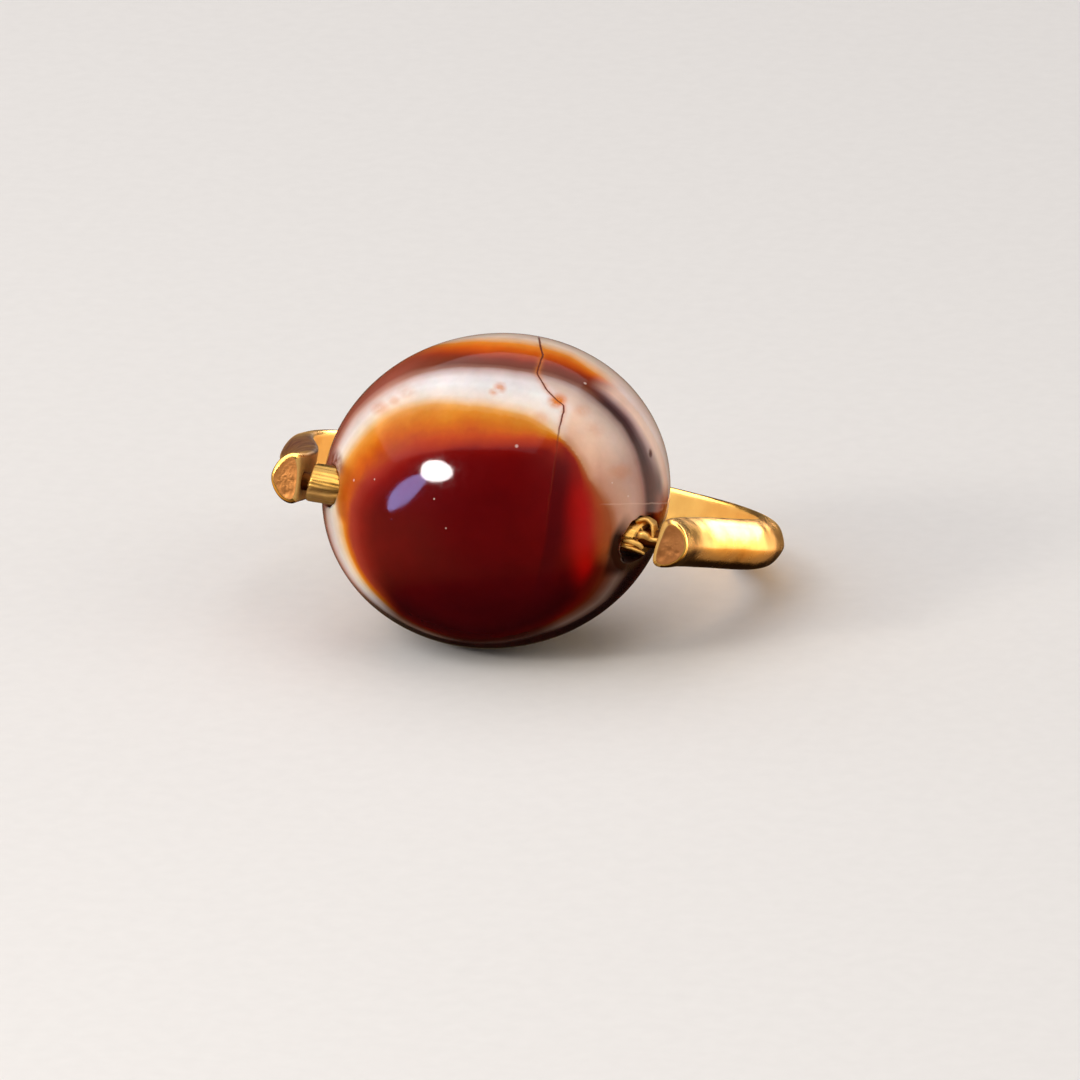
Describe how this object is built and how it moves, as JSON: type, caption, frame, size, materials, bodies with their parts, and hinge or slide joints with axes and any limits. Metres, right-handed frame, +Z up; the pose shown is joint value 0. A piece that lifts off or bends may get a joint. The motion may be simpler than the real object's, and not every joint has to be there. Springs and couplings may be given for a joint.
{
  "type": "agate swivel ring",
  "caption": "Finger ring with a plain gold hoop, flat-cut at both ends, and a drilled banded agate bead that turns on a pin between them.",
  "frame": {"origin": "middle of the ring's box, on the floor it lies on", "axes": "+X to the right along the pin's line as seen from the front, +Y from the bead back to the hoop's rear bend, +Z up"},
  "size_m": [0.0222, 0.0228, 0.0135],
  "materials": {
    "gold": "gloss",
    "pin_gold": "satin",
    "strip_gold": "satin",
    "agate": "polished"
  },
  "bodies": {
    "ring": {"hoop": "gold", "pin": "pin_gold", "sleeve": "strip_gold"},
    "bead": {"agate_bead": "agate"}
  },
  "joints": [
    {"name": "bead_swivel", "type": "hinge", "parent": "ring", "child": "bead", "pos_m": [0.00036, -0.00754, 0.00681], "axis": [0.9949, 0.0103, -0.0999], "continuous": true}
  ]
}
